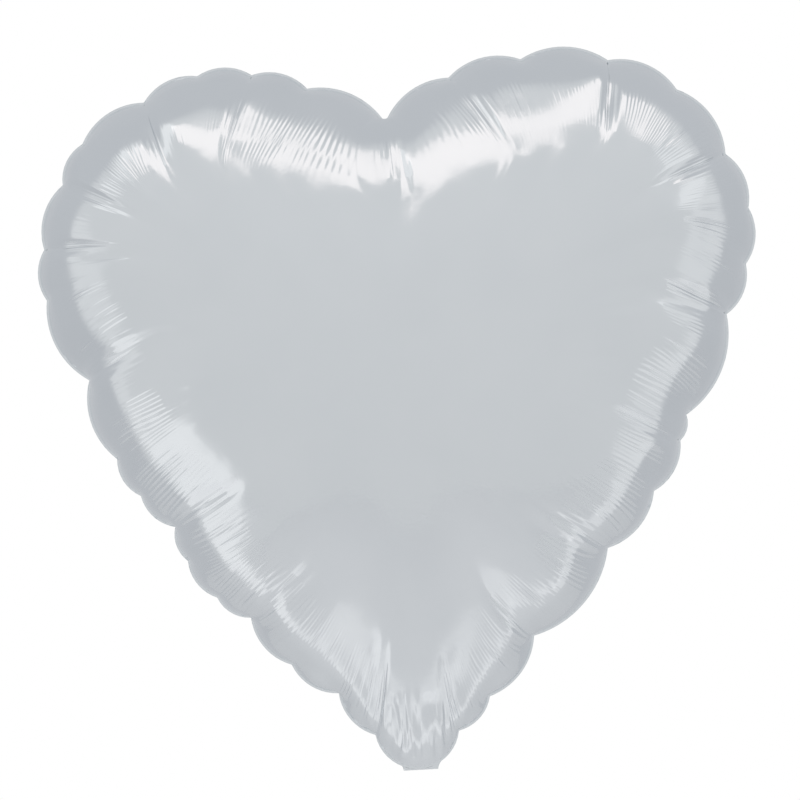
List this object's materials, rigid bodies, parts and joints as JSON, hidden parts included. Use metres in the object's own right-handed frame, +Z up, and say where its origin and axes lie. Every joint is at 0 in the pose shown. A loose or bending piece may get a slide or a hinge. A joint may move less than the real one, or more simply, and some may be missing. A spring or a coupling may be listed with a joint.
{
  "type": "heart-shaped foil balloon",
  "caption": "Inflated heart-shaped foil balloon with a puckered heat-sealed edge, a self-sealing valve and a fold-up filling tail.",
  "frame": {"origin": "the neck, at the middle of the fold between the heart and its tail, where a ribbon is tied", "axes": "+Z up the heart from the neck to the cleft, +X to the right seen from the front, front film facing -Y"},
  "size_m": [0.3948, 0.1406, 0.3928],
  "materials": {
    "foil_silver": "metallised film, mirror-like silver with fine radial wrinkles",
    "valve_film": "clear polyethylene film, slightly milky"
  },
  "bodies": {
    "envelope": {"front_panel": "foil_silver", "back_panel": "foil_silver", "valve_front_film": "valve_film", "valve_back_film": "valve_film"},
    "tail": {"tail_front_film": "foil_silver", "tail_back_film": "foil_silver", "tail_valve_front": "valve_film", "tail_valve_back": "valve_film"}
  },
  "joints": [
    {"name": "tail_fold", "type": "hinge", "parent": "envelope", "child": "tail", "pos_m": [0, 0.0016, 0], "axis": [-1, 0, 0], "range_deg": [0, 160]}
  ]
}
